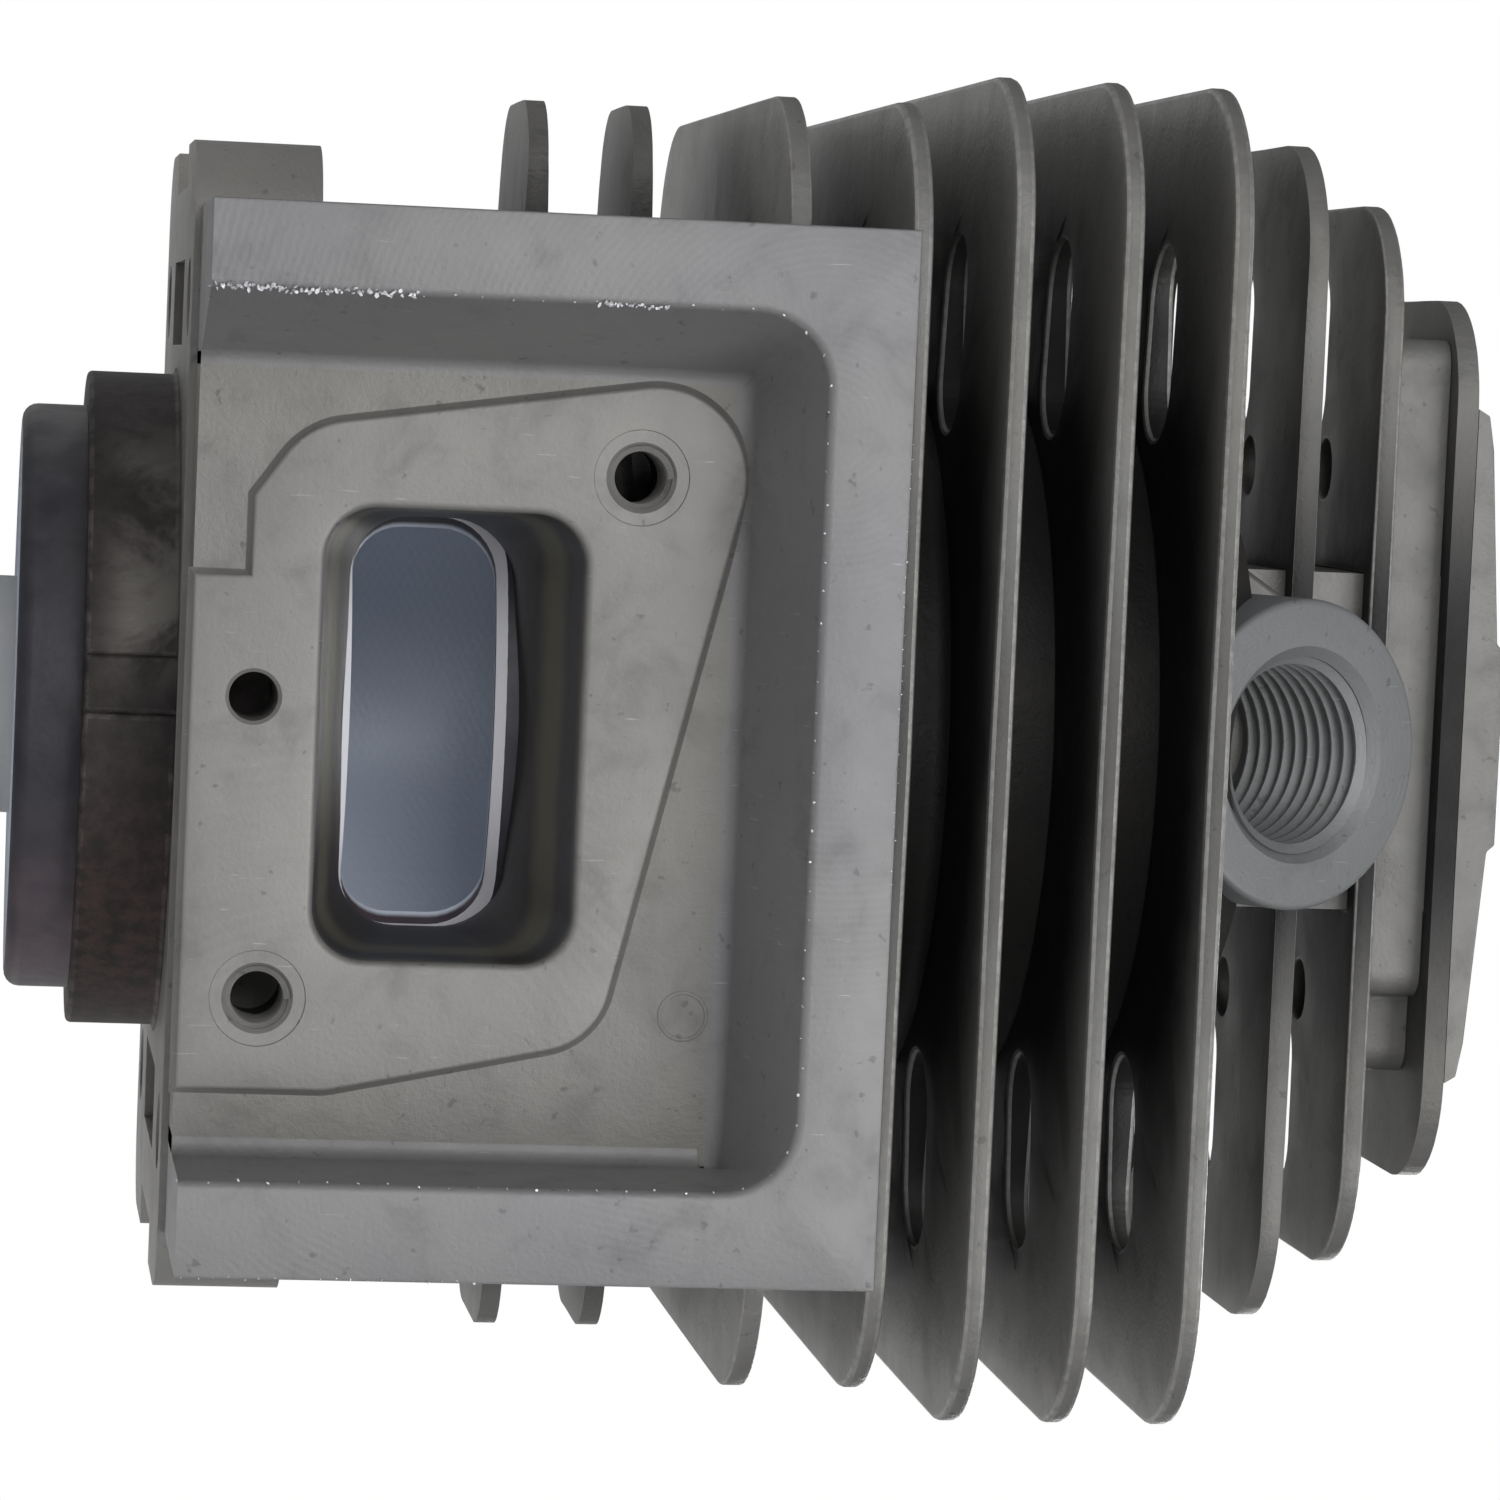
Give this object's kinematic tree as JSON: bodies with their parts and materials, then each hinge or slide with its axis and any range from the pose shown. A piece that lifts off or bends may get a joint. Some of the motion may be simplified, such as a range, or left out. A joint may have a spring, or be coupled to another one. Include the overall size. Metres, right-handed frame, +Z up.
{
  "type": "two-stroke engine cylinder",
  "caption": "Finned two-stroke cylinder with integral head: bore liner, base flange, framed intake recess, exhaust flange and tilted spark plug boss.",
  "frame": {"origin": "on the bore axis, in the plane of the crankcase gasket face", "axes": "+Z up the bore towards the head, -Y out of the intake side, +X to the right seen from the intake side"},
  "size_m": [0.092, 0.0824, 0.1092],
  "materials": {
    "cast_metal": "matte die-cast",
    "machined_metal": "milled and blasted",
    "liner": "honed bore, turned outside"
  },
  "bodies": {
    "root": {"bore_liner": "liner", "barrel": "cast_metal", "base_flange": "cast_metal", "transfer_duct_left": "cast_metal", "transfer_duct_right": "cast_metal", "intake_floor": "cast_metal", "intake_duct": "cast_metal", "intake_screw_bosses": "cast_metal", "exhaust_duct": "cast_metal", "spigot": "cast_metal", "cooling_fin_1": "cast_metal", "cooling_fin_2": "cast_metal", "cooling_fin_3": "cast_metal", "cooling_fin_4": "cast_metal", "cooling_fin_5": "cast_metal", "cooling_fin_6": "cast_metal", "cooling_fin_7": "cast_metal", "head_dome": "cast_metal", "head_core": "cast_metal", "head_fin_1": "cast_metal", "head_fin_2": "cast_metal", "head_fin_3": "cast_metal", "head_fin_4": "cast_metal", "head_slab": "cast_metal", "head_cap": "cast_metal", "rim_rail_left": "machined_metal", "rim_rail_right": "machined_metal", "rim_rail_top": "machined_metal", "intake_pad": "machined_metal", "exhaust_flange": "machined_metal", "plug_boss": "machined_metal"}
  },
  "joints": []
}
